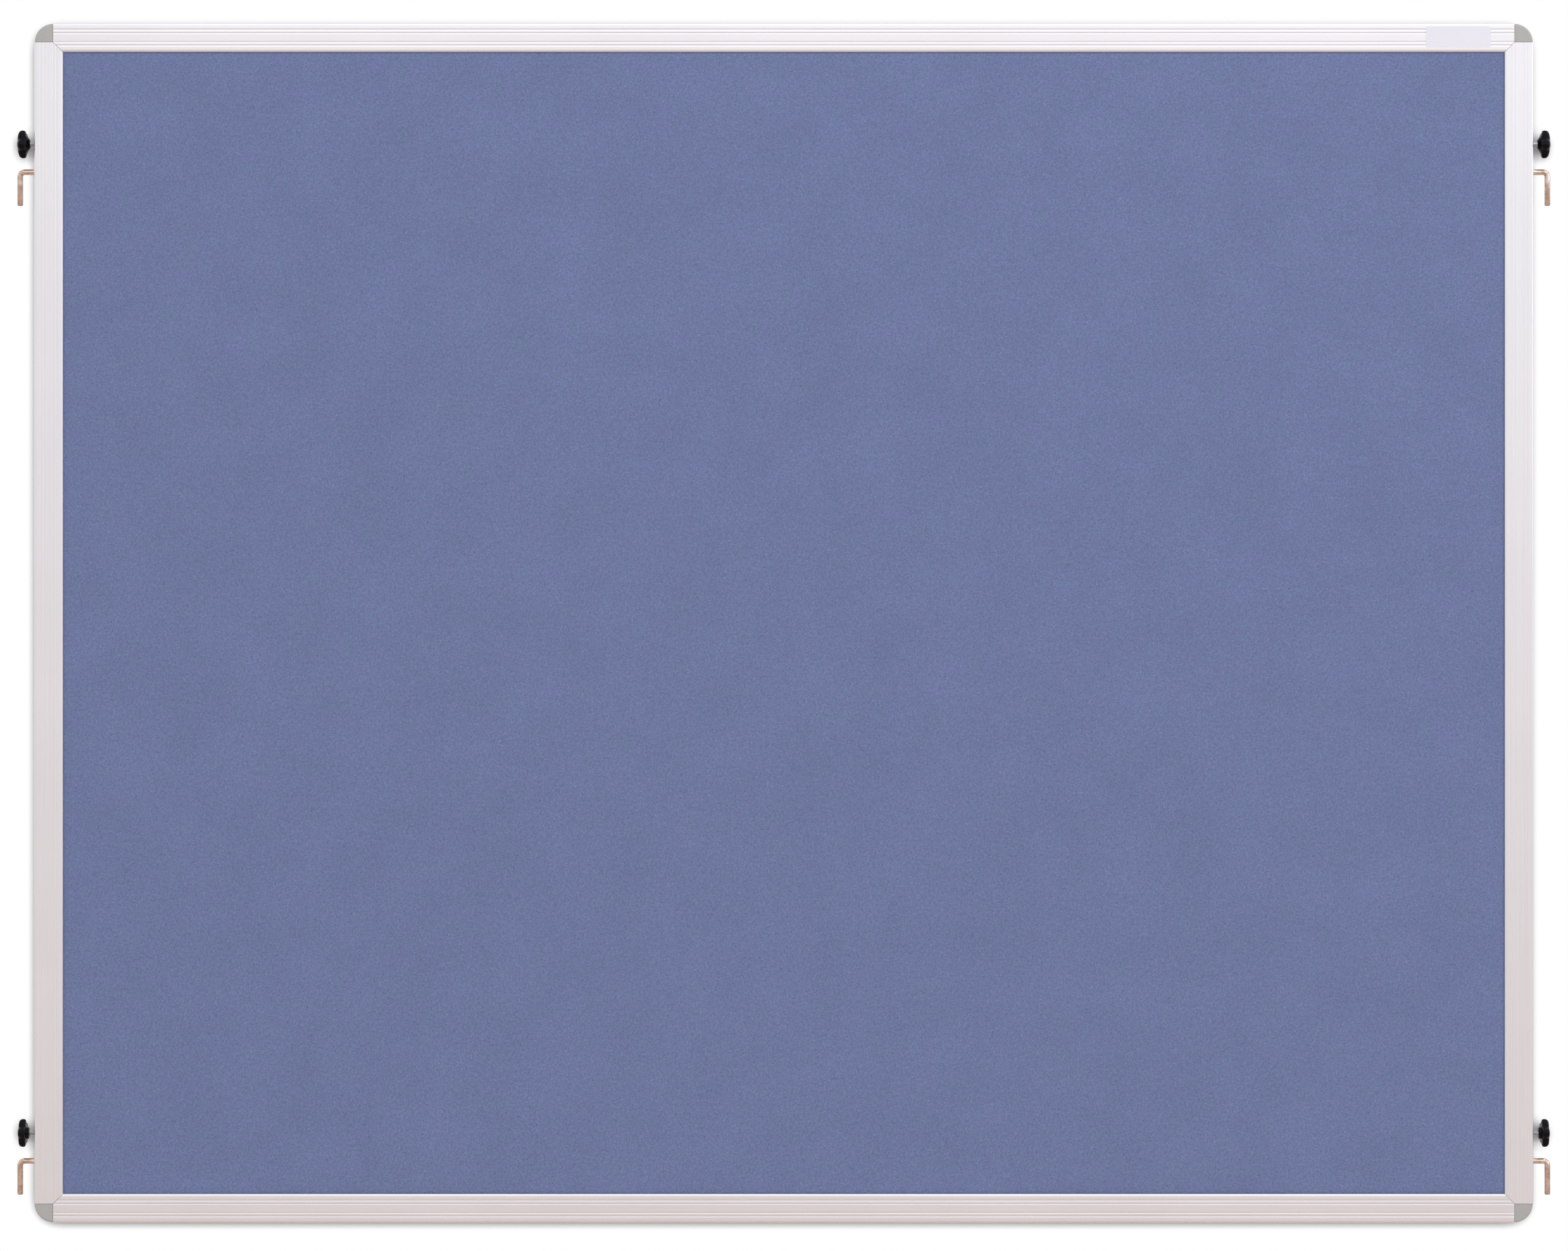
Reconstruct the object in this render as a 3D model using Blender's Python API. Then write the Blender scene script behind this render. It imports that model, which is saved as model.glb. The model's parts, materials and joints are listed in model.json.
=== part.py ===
"""Mobile pinboard: felt on both sides of a soft board, held in a grooved aluminium frame with rounded
corner caps. Four bent hooks hang it in the slots of two posts, and four star grips clamp it there.

Metres, +Z up, the front faces -Y. The origin is the middle of the bottom edge.
"""

from math import cos, pi, radians, sin, sqrt, tau

import bmesh
import bpy

MM = 0.001

# The whole board
BOARD_WIDTH = 1500 * MM
BOARD_HEIGHT = 1200 * MM
GAP = 0.25 * MM  # clearance between pieces that touch

# Frame extrusion, seen from its end
FACE_WIDTH = 29 * MM
FRAME_DEPTH = 22 * MM
WALL = 1.5 * MM
OUTER_ROUNDING = 2.2 * MM
GROOVE_CENTRES = (6.7 * MM, 10.2 * MM, 19.1 * MM, 22.5 * MM)
GROOVE_WIDTH = 1.7 * MM
GROOVE_DEPTH = 0.6 * MM
LIP_ROUNDING_WIDTH = 2.5 * MM
LIP_ROUNDING_DEPTH = 1.3 * MM
ARC_STEPS = 4

# Corner caps
CAP_SIZE = GROOVE_CENTRES[2]  # a cap's joints run along the third groove
CAP_STEP = 0.6 * MM  # how far the cap stands back from the bars' outline
CAP_ARC_STEPS = 12
LEG_LENGTH = 31 * MM
LEG_NOSE = 1.25 * MM
LEG_ROOT = 4 * MM  # how far a leg reaches into the head
POCKET_LENGTH = 7 * MM
POCKET_STARTS = (6 * MM, 21.5 * MM)
POCKET_DEPTH = 6.5 * MM
POCKET_RIM = 2.2 * MM
PILOT_END = 0.5 * MM  # how far behind the middle plane a screw's pilot hole ends

# Corner screws, driven from behind
SCREW_ALONG = 17.25 * MM  # from the cap along the bar
SCREW_ACROSS = 14.65 * MM  # from the bar's outer side, the middle of its centre land
SCREW_RADIUS = 1.75 * MM
SCREW_LENGTH = 9 * MM
SCREW_HEAD_RADIUS = 3.1 * MM
SCREW_HEAD_HEIGHT = 2.1 * MM
SCREW_FLAT_SHARE = 0.45  # of the head's radius, the flat middle of its top
SCREW_RIM_SHARE = 0.35  # of the head's height, its upright rim
SCREW_DOME_STEPS = 3

# Felt and core
FELT_THICKNESS = 1.5 * MM
BOARD_CORNER = 1.0 * MM

# Hooks and star grips on the side bars
HOOK_PITCH = 991 * MM
LOWER_HOOK_HEIGHT = 61 * MM
KNOB_ABOVE_HOOK = 27.9 * MM

# Blind rivet nuts, flush in the side wall
M6_RADIUS = 3.0 * MM
M4_RADIUS = 2.0 * MM
INSERT_RADIUS = 4.5 * MM
INSERT_HEAD_RADIUS = 5.2 * MM
INSERT_HEAD_DEPTH = 0.85 * MM
INSERT_BULGE_RADIUS = 5.7 * MM
INSERT_BULGE_LENGTH = 2.2 * MM
INSERT_TAPER = 0.6 * MM
INSERT_SINK = 0.1 * MM  # how far the flush head lies below the wall's outside
INSERT_LENGTH = 14 * MM

# Hooks, bent from round rod
ROD_RADIUS = 2.7 * MM
HOOK_THREAD_RADIUS = 2.95 * MM
HOOK_REACH = 15.4 * MM  # frame side to the middle of the leg
HOOK_DROP = 33.7 * MM  # axis of the threaded leg to the tip
HOOK_BEND = 4.4 * MM
HOOK_THREAD_LENGTH = 13 * MM
HOOK_BEND_STEPS = 7
HOOK_CHAMFER = 0.8 * MM

# Star grips, measured outwards from the hub's face
KNOB_LOBES = 5
KNOB_STEPS_PER_LOBE = 8
KNOB_LOBE_SHAPE = 0.8  # below 1 widens the lobes and narrows the valleys
LOBE_RADIUS = 14.4 * MM
VALLEY_RADIUS = 10.6 * MM
# The thread, frame side to hub face, how far below level the front lobe looks, the hub's rings
# as (height, radius), and the star's rings as (height, share of the widest ring's radii)
KNOB_FORMS = {
    "upper": {  # coned behind and domed in front
        "thread": M6_RADIUS,
        "standoff": 5.1 * MM,
        "turn": radians(9),
        "hub": ((0.0, 4.1 * MM), (2.2 * MM, 6.8 * MM), (3.3 * MM, 9.1 * MM)),
        "star": ((4.0 * MM, 0.92), (5.0 * MM, 1.0), (8.7 * MM, 1.0),
                 (10.4 * MM, 0.92), (11.7 * MM, 0.74), (12.4 * MM, 0.48)),
        "length": 12.8 * MM,
    },
    "lower": {  # a stepped collar behind and a flat front
        "thread": M4_RADIUS,
        "standoff": 6.2 * MM,
        "turn": radians(-6),
        "hub": ((0.0, 5.0 * MM), (0.8 * MM, 5.9 * MM), (2.8 * MM, 6.1 * MM)),
        "star": ((3.0 * MM, 0.91), (3.9 * MM, 1.0), (7.2 * MM, 1.0),
                 (9.0 * MM, 0.94), (9.9 * MM, 0.83), (10.2 * MM, 0.70)),
        "length": 10.2 * MM,
    },
}
CAVITY_START = 4.6 * MM
CAVITY_END = 8.2 * MM
CAVITY_RADIUS = 4.75 * MM
STUD_LENGTH = 16 * MM  # hub face to tip
STUD_CHAMFER = 0.9 * MM

SIDES = 24  # facets round a turned piece
FEWER_SIDES = 16  # the same for small and hidden ones
EMPTY_SIZE = 20 * MM
HALF_DEPTH = FRAME_DEPTH / 2
CHAMBER_HALF = HALF_DEPTH - WALL
MITRE_GAP = GAP / sqrt(2)
CHANNEL_FLOOR = CAP_SIZE + WALL
MERGE_DISTANCE = 0.001 * MM

MATERIALS = {
    "anodised aluminium": ((0.80, 0.79, 0.80), 0.35, 0.9),
    "grey plastic": ((0.43, 0.44, 0.43), 0.5, 0.0),
    "soft board": ((0.55, 0.42, 0.28), 0.95, 0.0),
    "blue felt": ((0.155, 0.185, 0.325), 1.0, 0.0),
    "black plastic": ((0.010, 0.011, 0.014), 0.35, 0.0),
    "zinc plating": ((0.72, 0.70, 0.68), 0.3, 1.0),
}


def material(name):
    made = bpy.data.materials.get(name)
    if made is None:
        colour, roughness, metallic = MATERIALS[name]
        made = bpy.data.materials.new(name)
        made.use_nodes = True
        shader = made.node_tree.nodes["Principled BSDF"]
        shader.inputs["Base Color"].default_value = (*colour, 1)
        shader.inputs["Roughness"].default_value = roughness
        shader.inputs["Metallic"].default_value = metallic
    return made


def add_object(name, mesh, material_name, location=(0, 0, 0), turn_y=0.0, parent=None):
    """Puts a mesh in the scene, turned about Y."""
    piece = bpy.data.objects.new(name, mesh)
    if not mesh.materials:
        mesh.materials.append(material(material_name))
    piece.location = location
    piece.rotation_euler = (0, turn_y, 0)
    piece.parent = parent
    bpy.context.scene.collection.objects.link(piece)
    return piece


def add_empty(name, location, turn_y):
    empty = bpy.data.objects.new(name, None)
    empty.location = location
    empty.rotation_euler = (0, turn_y, 0)
    empty.empty_display_size = EMPTY_SIZE
    bpy.context.scene.collection.objects.link(empty)
    return empty


def finished(bm, name, smooth=True):
    """Turns a bmesh into a mesh with its normals out and its curves shaded smooth."""
    bmesh.ops.remove_doubles(bm, verts=bm.verts, dist=MERGE_DISTANCE)
    bmesh.ops.recalc_face_normals(bm, faces=bm.faces)
    mesh = bpy.data.meshes.new(name)
    bm.to_mesh(mesh)
    bm.free()
    if smooth:
        mesh.shade_smooth()
        mesh.set_sharp_from_angle(angle=radians(35))
    return mesh


def lofted(name, rings):
    """A closed skin through rings of equally many points, with its ends capped."""
    bm = bmesh.new()
    loops = [[bm.verts.new(point) for point in ring] for ring in rings]
    bm.faces.new(reversed(loops[0]))
    bm.faces.new(loops[-1])
    for near, far in zip(loops, loops[1:]):
        for here in range(len(near)):
            after = (here + 1) % len(near)
            bm.faces.new((near[here], near[after], far[after], far[here]))
    return finished(bm, name)


def turned(name, profile, closed=False, steps=SIDES):
    """A piece turned about +Z from (radius, height) points that end on the axis, or are closed."""
    bm = bmesh.new()
    points = [bm.verts.new((radius, 0, height)) for radius, height in profile]
    edges = [bm.edges.new(pair) for pair in zip(points, points[1:])]
    if closed:
        edges.append(bm.edges.new((points[-1], points[0])))
    bmesh.ops.spin(
        bm, geom=points + edges, axis=(0, 0, 1), cent=(0, 0, 0), angle=tau, steps=steps, use_merge=True
    )
    return finished(bm, name)


def box(name, low, high, bevel=0.0):
    """A box between two corners, its edges cut off by the bevel."""
    bm = bmesh.new()
    bmesh.ops.create_cube(bm, size=1)
    for vert in bm.verts:
        vert.co = [a + (b - a) * (t + 0.5) for a, b, t in zip(low, high, vert.co)]
    if bevel:
        bmesh.ops.bevel(bm, geom=bm.edges, offset=bevel, segments=1, affect="EDGES")
    return finished(bm, name, smooth=False)


def combined(base, changes):
    """Joins meshes to a mesh or cuts them from it, each as (mesh, operation, location, turn_x)."""
    piece = bpy.data.objects.new("work", base)
    bpy.context.scene.collection.objects.link(piece)
    helpers = []
    for mesh, operation, location, turn_x in changes:
        helper = bpy.data.objects.new("helper", mesh)
        helper.location = location
        helper.rotation_euler = (turn_x, 0, 0)
        helper.hide_render = True
        helper.display_type = "WIRE"
        bpy.context.scene.collection.objects.link(helper)
        helpers.append(helper)
        modifier = piece.modifiers.new(operation.lower(), "BOOLEAN")
        modifier.operation = operation
        modifier.solver = "EXACT"
        modifier.object = helper
    bpy.context.view_layer.update()
    graph = bpy.context.evaluated_depsgraph_get()
    result = bpy.data.meshes.new_from_object(piece.evaluated_get(graph))
    for unwanted in [piece, *helpers]:
        bpy.data.objects.remove(unwanted)
    return result


def arc(centre, radius, start, end, steps, radius_across=None):
    """Points on an arc or a quarter of an ellipse, angles in radians."""
    across = radius if radius_across is None else radius_across
    angles = [start + (end - start) * step / steps for step in range(steps + 1)]
    return [(centre[0] + radius * cos(angle), centre[1] + across * sin(angle)) for angle in angles]


def face_contour():
    """One face of the extrusion from outer side to lip, as (inwards, height off the middle)."""
    points = arc(
        (OUTER_ROUNDING, HALF_DEPTH - OUTER_ROUNDING), OUTER_ROUNDING, pi, pi / 2, ARC_STEPS
    )
    for centre in GROOVE_CENTRES:
        start = centre - GROOVE_WIDTH / 2
        points.append((start, HALF_DEPTH))
        points.append((centre, HALF_DEPTH - GROOVE_DEPTH))
        points.append((centre + GROOVE_WIDTH / 2, HALF_DEPTH))
    points += arc(
        (FACE_WIDTH - LIP_ROUNDING_WIDTH, HALF_DEPTH - LIP_ROUNDING_DEPTH),
        LIP_ROUNDING_WIDTH, pi / 2, 0, ARC_STEPS, LIP_ROUNDING_DEPTH,
    )
    points.append((FACE_WIDTH, CHAMBER_HALF))
    return points


def mirrored_loop(front):
    """Closes a half outline with its mirror image behind the middle plane, as (inwards, y)."""
    return [(inwards, -height) for inwards, height in front] + [
        (inwards, height) for inwards, height in reversed(front)
    ]


def extrusion(name, length):
    """A bar along X with its outer side on z = 0: square cut for the caps, mitred from there inwards."""
    contour = face_contour()
    split = next(i for i, point in enumerate(contour) if point[0] == CAP_SIZE)
    chamber_wall = mirrored_loop(
        [(WALL, 0.0), (WALL, CHAMBER_HALF), (CAP_SIZE, CHAMBER_HALF)] + contour[split::-1]
    )
    board_channel = mirrored_loop(
        [(CAP_SIZE, CHAMBER_HALF)] + contour[split:] + [(CHANNEL_FLOOR, CHAMBER_HALF)]
    )
    bm = bmesh.new()
    corners = {}
    for loop in (chamber_wall, board_channel):
        for point in loop:
            if point not in corners:
                corners[point] = bm.verts.new((0, point[1], point[0]))
    faces = []
    for loop in (chamber_wall, board_channel):
        ring = [corners[point] for index, point in enumerate(loop) if point != loop[index - 1]]
        faces.append(bm.faces.new(ring))
    pushed = bmesh.ops.extrude_face_region(bm, geom=faces, use_keep_orig=True)["geom"]
    far_end = {vert for vert in pushed if isinstance(vert, bmesh.types.BMVert)}
    for vert in bm.verts:
        half = length / 2 - max(vert.co.z, CAP_SIZE) - MITRE_GAP
        vert.co.x = half if vert in far_end else -half
    return finished(bm, name)


def insert_seat():
    """The countersunk hole for a rivet nut, as a cutter about +Z through a wall that starts at z = 0."""
    hole = INSERT_RADIUS + GAP
    mouth = INSERT_HEAD_RADIUS + GAP
    return turned("insert_seat", [
        (0, 2 * WALL), (hole, 2 * WALL), (hole, INSERT_HEAD_DEPTH),
        (mouth, 0), (mouth, -WALL), (0, -WALL),
    ], steps=FEWER_SIDES)


def add_frame():
    screw_hole = turned("screw_hole", [
        (0, HALF_DEPTH + WALL), (SCREW_RADIUS + GAP, HALF_DEPTH + WALL),
        (SCREW_RADIUS + GAP, CHAMBER_HALF - WALL), (0, CHAMBER_HALF - WALL),
    ], steps=FEWER_SIDES)
    seat = insert_seat()
    heights = [hook + above for hook in hook_heights() for above in (0.0, KNOB_ABOVE_HOOK)]
    bars = (
        ("frame_bottom", BOARD_WIDTH, (0, 0, 0), 0.0, []),
        ("frame_top", BOARD_WIDTH, (0, 0, BOARD_HEIGHT), pi, []),
        ("frame_left", BOARD_HEIGHT, (-BOARD_WIDTH / 2, 0, BOARD_HEIGHT / 2), pi / 2,
         [BOARD_HEIGHT / 2 - height for height in heights]),
        ("frame_right", BOARD_HEIGHT, (BOARD_WIDTH / 2, 0, BOARD_HEIGHT / 2), -pi / 2,
         [height - BOARD_HEIGHT / 2 for height in heights]),
    )
    for name, length, location, turn_y, seats in bars:
        screw_x = length / 2 - CAP_SIZE - SCREW_ALONG
        cuts = [(screw_hole, "DIFFERENCE", (x, 0, SCREW_ACROSS), -pi / 2) for x in (-screw_x, screw_x)]
        cuts += [(seat, "DIFFERENCE", (x, 0, 0), 0.0) for x in seats]
        bar = combined(extrusion(name, length), cuts)
        bar.name = name
        add_object(name, bar, "anodised aluminium", location, turn_y)


def leg_box(name, along_x, along, across, depth, bevel=0.0):
    """A box in one of the two bars that meet at a corner, each span as (low, high)."""
    spans = (along, depth, across) if along_x else (across, depth, along)
    low, high = zip(*spans)
    return box(name, low, high, bevel)


def cap_mesh():
    """A corner cap for the lower left: a quarter-round head, and a plug leg into the bar on each side."""
    seat = CAP_SIZE - GAP / 2
    radius = seat - CAP_STEP
    edge = arc(
        (radius - OUTER_ROUNDING, HALF_DEPTH - OUTER_ROUNDING), OUTER_ROUNDING, pi / 2, 0, ARC_STEPS
    )
    section = mirrored_loop([(0.0, HALF_DEPTH)] + edge)
    rings = []
    for step in range(CAP_ARC_STEPS + 1):
        angle = pi / 2 * step / CAP_ARC_STEPS
        rings.append([
            (seat - out * cos(angle), y, seat - out * sin(angle)) for out, y in section
        ])
    deep = CHAMBER_HALF - GAP
    across = (WALL + GAP, CAP_SIZE - GAP)
    pocket_across = (across[0] + POCKET_RIM, across[1] - POCKET_RIM)
    pilot = turned("pilot", [
        (0, HALF_DEPTH), (SCREW_RADIUS + GAP, HALF_DEPTH), (SCREW_RADIUS + GAP, PILOT_END), (0, PILOT_END),
    ], steps=FEWER_SIDES)
    changes = []
    for along_x in (True, False):
        leg = leg_box(
            "leg", along_x, (CAP_SIZE - LEG_ROOT, CAP_SIZE + LEG_LENGTH), across, (-deep, deep), LEG_NOSE
        )
        changes.append((leg, "UNION", (0, 0, 0), 0.0))
        for start in POCKET_STARTS:
            along = (CAP_SIZE + start, CAP_SIZE + start + POCKET_LENGTH)
            for depth in ((-deep - WALL, -deep + POCKET_DEPTH), (deep - POCKET_DEPTH, deep + WALL)):
                pocket = leg_box("pocket", along_x, along, pocket_across, depth)
                changes.append((pocket, "DIFFERENCE", (0, 0, 0), 0.0))
        screw_along = CAP_SIZE + SCREW_ALONG
        spot = (screw_along, 0, SCREW_ACROSS) if along_x else (SCREW_ACROSS, 0, screw_along)
        changes.append((pilot, "DIFFERENCE", spot, -pi / 2))
    return combined(lofted("corner_cap", rings), changes)


def corner_places():
    """Name, outer corner and turn about Y for each corner."""
    return (
        ("lower_left", (-BOARD_WIDTH / 2, 0, 0), 0.0),
        ("upper_left", (-BOARD_WIDTH / 2, 0, BOARD_HEIGHT), pi / 2),
        ("upper_right", (BOARD_WIDTH / 2, 0, BOARD_HEIGHT), pi),
        ("lower_right", (BOARD_WIDTH / 2, 0, 0), -pi / 2),
    )


def screw_mesh():
    """A pan-head screw about +Z, its head's underside on z = 0."""
    dome = arc(
        (SCREW_HEAD_RADIUS * SCREW_FLAT_SHARE, SCREW_HEAD_HEIGHT * SCREW_RIM_SHARE),
        SCREW_HEAD_RADIUS * (1 - SCREW_FLAT_SHARE), pi / 2, 0, SCREW_DOME_STEPS,
        SCREW_HEAD_HEIGHT * (1 - SCREW_RIM_SHARE),
    )
    return turned("corner_screw", [
        (0, SCREW_HEAD_HEIGHT), *dome, (SCREW_HEAD_RADIUS, 0), (SCREW_RADIUS, 0),
        (SCREW_RADIUS, -SCREW_LENGTH + 2 * SCREW_RADIUS), (0, -SCREW_LENGTH),
    ], steps=FEWER_SIDES)


def add_corners():
    cap = cap_mesh()
    screw = screw_mesh()
    along = CAP_SIZE + SCREW_ALONG
    for name, corner, turn_y in corner_places():
        holder = add_empty("corner_" + name, corner, turn_y)
        add_object("corner_cap_" + name, cap, "grey plastic", parent=holder)
        for bar, spot in (("first", (along, SCREW_ACROSS)), ("second", (SCREW_ACROSS, along))):
            place = (spot[0], HALF_DEPTH + GAP, spot[1])
            fixing = add_object(
                f"corner_screw_{name}_{bar}", screw, "zinc plating", place, parent=holder
            )
            fixing.rotation_euler = (-pi / 2, 0, 0)


def add_board():
    """The soft board and its two felts, held by their edges in the frame's channel."""
    side = CHANNEL_FLOOR + GAP
    felt_outside = CHAMBER_HALF - GAP
    felt_inside = felt_outside - FELT_THICKNESS
    layers = (
        ("felt_front", -felt_outside, -felt_inside, "blue felt", 0.0),
        ("core_board", -felt_inside + GAP, felt_inside - GAP, "soft board", BOARD_CORNER),
        ("felt_rear", felt_inside, felt_outside, "blue felt", 0.0),
    )
    for name, y_low, y_high, finish, bevel in layers:
        low = (side - BOARD_WIDTH / 2, y_low, side)
        high = (BOARD_WIDTH / 2 - side, y_high, BOARD_HEIGHT - side)
        add_object(name, box(name, low, high, bevel), finish)


def insert_mesh(thread_radius):
    """A rivet nut about +Z in a wall that starts at z = 0, with the bulge that holds it behind."""
    bore = thread_radius + GAP
    bulge_start = WALL + GAP
    bulge_end = bulge_start + INSERT_BULGE_LENGTH
    return turned("insert", [
        (bore, INSERT_SINK), (bore, INSERT_LENGTH), (INSERT_RADIUS, INSERT_LENGTH),
        (INSERT_RADIUS, bulge_end + INSERT_TAPER), (INSERT_BULGE_RADIUS, bulge_end),
        (INSERT_BULGE_RADIUS, bulge_start), (INSERT_RADIUS, bulge_start),
        (INSERT_RADIUS, INSERT_HEAD_DEPTH + INSERT_SINK), (INSERT_HEAD_RADIUS, INSERT_SINK),
    ], closed=True, steps=FEWER_SIDES)


def knob_rings(form):
    """A grip's skin as (height, valley radius, lobe radius), from its cavity round to its crown."""
    bore = form["thread"] + GAP
    inside = (
        (CAVITY_END, 0), (CAVITY_END, CAVITY_RADIUS), (CAVITY_START, CAVITY_RADIUS),
        (CAVITY_START, bore), (0, bore),
    )
    rings = [(height, radius, radius) for height, radius in (*inside, *form["hub"])]
    for height, share in form["star"]:
        rings.append((height, VALLEY_RADIUS * share, LOBE_RADIUS * share))
    rings.append((form["length"], 0, 0))
    return rings


def knob_mesh(form):
    """A star grip about +Z with its hub face on z = 0 and one lobe towards -Y."""
    count = KNOB_LOBES * KNOB_STEPS_PER_LOBE
    rings = []
    for height, valley, lobe in knob_rings(form):
        ring = []
        for step in range(count):
            angle = tau * step / count
            share = ((1 + cos(KNOB_LOBES * angle)) / 2) ** KNOB_LOBE_SHAPE
            radius = valley + (lobe - valley) * share
            ring.append((radius * sin(angle), -radius * cos(angle), height))
        rings.append(ring)
    return lofted("star_knob", rings)


def stud_mesh(thread_radius):
    """The threaded stud about +Z, with the collar that is moulded into the grip."""
    collar = CAVITY_RADIUS - GAP
    return turned("knob_stud", [
        (0, CAVITY_END - GAP), (collar, CAVITY_END - GAP),
        (collar, CAVITY_START + GAP),
        (thread_radius, CAVITY_START + GAP), (thread_radius, -STUD_LENGTH + STUD_CHAMFER),
        (thread_radius - STUD_CHAMFER, -STUD_LENGTH), (0, -STUD_LENGTH),
    ])


def hook_route():
    """The rod's middle line as (outwards, down, radius), from its threaded end to its tip."""
    bend = arc((HOOK_REACH - HOOK_BEND, -HOOK_BEND), HOOK_BEND, pi / 2, 0, HOOK_BEND_STEPS)
    return [
        (-HOOK_THREAD_LENGTH, 0, HOOK_THREAD_RADIUS - HOOK_CHAMFER),
        (HOOK_CHAMFER - HOOK_THREAD_LENGTH, 0, HOOK_THREAD_RADIUS),
        (-GAP, 0, HOOK_THREAD_RADIUS),
        (0, 0, ROD_RADIUS),
        *((out, height, ROD_RADIUS) for out, height in bend),
        (HOOK_REACH, HOOK_CHAMFER - HOOK_DROP, ROD_RADIUS),
        (HOOK_REACH, -HOOK_DROP, ROD_RADIUS - HOOK_CHAMFER),
    ]


def add_hook(name, location, side):
    """A hook on one side of the board, as a bevelled curve with its origin where its thread goes in."""
    curve = bpy.data.curves.new(name, "CURVE")
    curve.dimensions = "3D"
    curve.bevel_depth = ROD_RADIUS
    curve.bevel_resolution = 3
    curve.use_fill_caps = True
    spline = curve.splines.new("POLY")
    route = hook_route()
    spline.points.add(len(route) - 1)
    for point, (out, height, radius) in zip(spline.points, route):
        point.co = (side * out, 0, height, 1)
        point.radius = radius / ROD_RADIUS
    curve.materials.append(material("zinc plating"))
    hook = bpy.data.objects.new(name, curve)
    hook.location = location
    bpy.context.scene.collection.objects.link(hook)


def hook_heights():
    return LOWER_HOOK_HEIGHT, LOWER_HOOK_HEIGHT + HOOK_PITCH


def add_fittings():
    """At each of four places, a star grip above a hook, each in its rivet nut."""
    hook_insert = insert_mesh(M6_RADIUS)
    inserts = {level: insert_mesh(form["thread"]) for level, form in KNOB_FORMS.items()}
    studs = {level: stud_mesh(form["thread"]) for level, form in KNOB_FORMS.items()}
    knobs = {level: knob_mesh(form) for level, form in KNOB_FORMS.items()}
    for side_name, side in (("left", -1), ("right", 1)):
        for level, height in zip(("lower", "upper"), hook_heights()):
            place = f"{level}_{side_name}"
            form = KNOB_FORMS[level]
            frame_side = side * BOARD_WIDTH / 2
            outwards = side * pi / 2
            hook_spot = (frame_side, 0, height)
            knob_spot = (frame_side, 0, height + KNOB_ABOVE_HOOK)
            add_hook("hook_" + place, hook_spot, side)
            for kind, insert, spot in (
                ("hook", hook_insert, hook_spot), ("knob", inserts[level], knob_spot),
            ):
                add_object(f"{kind}_insert_{place}", insert, "zinc plating", spot, -outwards)
            hub = (frame_side + side * form["standoff"], 0, height + KNOB_ABOVE_HOOK)
            axis = add_empty("knob_axis_" + place, hub, outwards)
            add_object("knob_stud_" + place, studs[level], "zinc plating", parent=axis)
            grip = add_object("star_knob_" + place, knobs[level], "black plastic", parent=axis)
            grip.rotation_euler = (0, 0, side * form["turn"])


def main():
    for old in list(bpy.data.objects):
        bpy.data.objects.remove(old)
    add_frame()
    add_corners()
    add_board()
    add_fittings()


main()
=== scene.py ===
# %% [markdown]
# # Dressing a mobile pinboard
#
# A plain, exact model of a felt pinboard is loaded first. Around it this lesson makes what the eye
# sees: grooved aluminium bars, moulded corners, two stretched felts, black star grips on threaded
# studs, and bent steel hooks. Every length is in metres, +Z is up, and the front looks along -Y.

# %% Load the plain model
from math import atan2, cos, pi, radians, sin, tau

import bmesh
import bpy
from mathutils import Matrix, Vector, noise
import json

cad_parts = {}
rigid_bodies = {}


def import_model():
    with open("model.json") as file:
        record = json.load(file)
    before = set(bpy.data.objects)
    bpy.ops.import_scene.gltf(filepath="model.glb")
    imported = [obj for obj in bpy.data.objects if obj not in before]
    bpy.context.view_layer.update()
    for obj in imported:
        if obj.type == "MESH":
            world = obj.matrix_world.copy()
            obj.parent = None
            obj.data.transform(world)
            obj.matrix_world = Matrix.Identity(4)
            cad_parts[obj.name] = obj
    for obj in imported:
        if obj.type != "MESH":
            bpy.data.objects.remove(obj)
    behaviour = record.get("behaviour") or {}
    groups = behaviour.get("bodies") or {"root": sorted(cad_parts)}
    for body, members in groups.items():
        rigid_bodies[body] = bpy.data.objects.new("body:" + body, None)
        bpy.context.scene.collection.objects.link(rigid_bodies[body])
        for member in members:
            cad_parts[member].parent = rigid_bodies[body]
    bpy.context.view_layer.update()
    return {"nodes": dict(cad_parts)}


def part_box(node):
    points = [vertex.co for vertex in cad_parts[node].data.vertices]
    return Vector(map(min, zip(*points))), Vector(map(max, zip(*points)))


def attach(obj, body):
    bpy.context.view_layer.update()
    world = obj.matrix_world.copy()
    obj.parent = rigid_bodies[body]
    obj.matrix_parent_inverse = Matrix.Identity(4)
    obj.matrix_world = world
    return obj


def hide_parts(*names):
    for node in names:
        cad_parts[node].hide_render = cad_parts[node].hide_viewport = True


MM = 0.001

for leftover in list(bpy.data.objects):
    bpy.data.objects.remove(leftover)
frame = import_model()

# %% [markdown]
# ## Small helpers
#
# An operator works on whatever is selected, so each step first selects one piece and nothing else.
# A finished piece has its place in its mesh and its object at the origin, so that patterns that read
# Object coordinates are in true metres and stay where they are.

# %% Select, apply and settle


def only(piece):
    """Leaves edit mode, then makes one piece the only selected and the active one."""
    if bpy.context.object and bpy.context.mode != "OBJECT":
        bpy.ops.object.mode_set(mode="OBJECT")
    bpy.ops.object.select_all(action="DESELECT")
    piece.select_set(True)
    bpy.context.view_layer.objects.active = piece


def apply_modifiers(piece):
    """Makes every modifier's result the mesh itself."""
    only(piece)
    for modifier in list(piece.modifiers):
        bpy.ops.object.modifier_apply(modifier=modifier.name)


def settle(piece):
    """Puts a piece's place, turn and size into its mesh."""
    only(piece)
    bpy.ops.object.transform_apply(location=True, rotation=True, scale=True)


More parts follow.
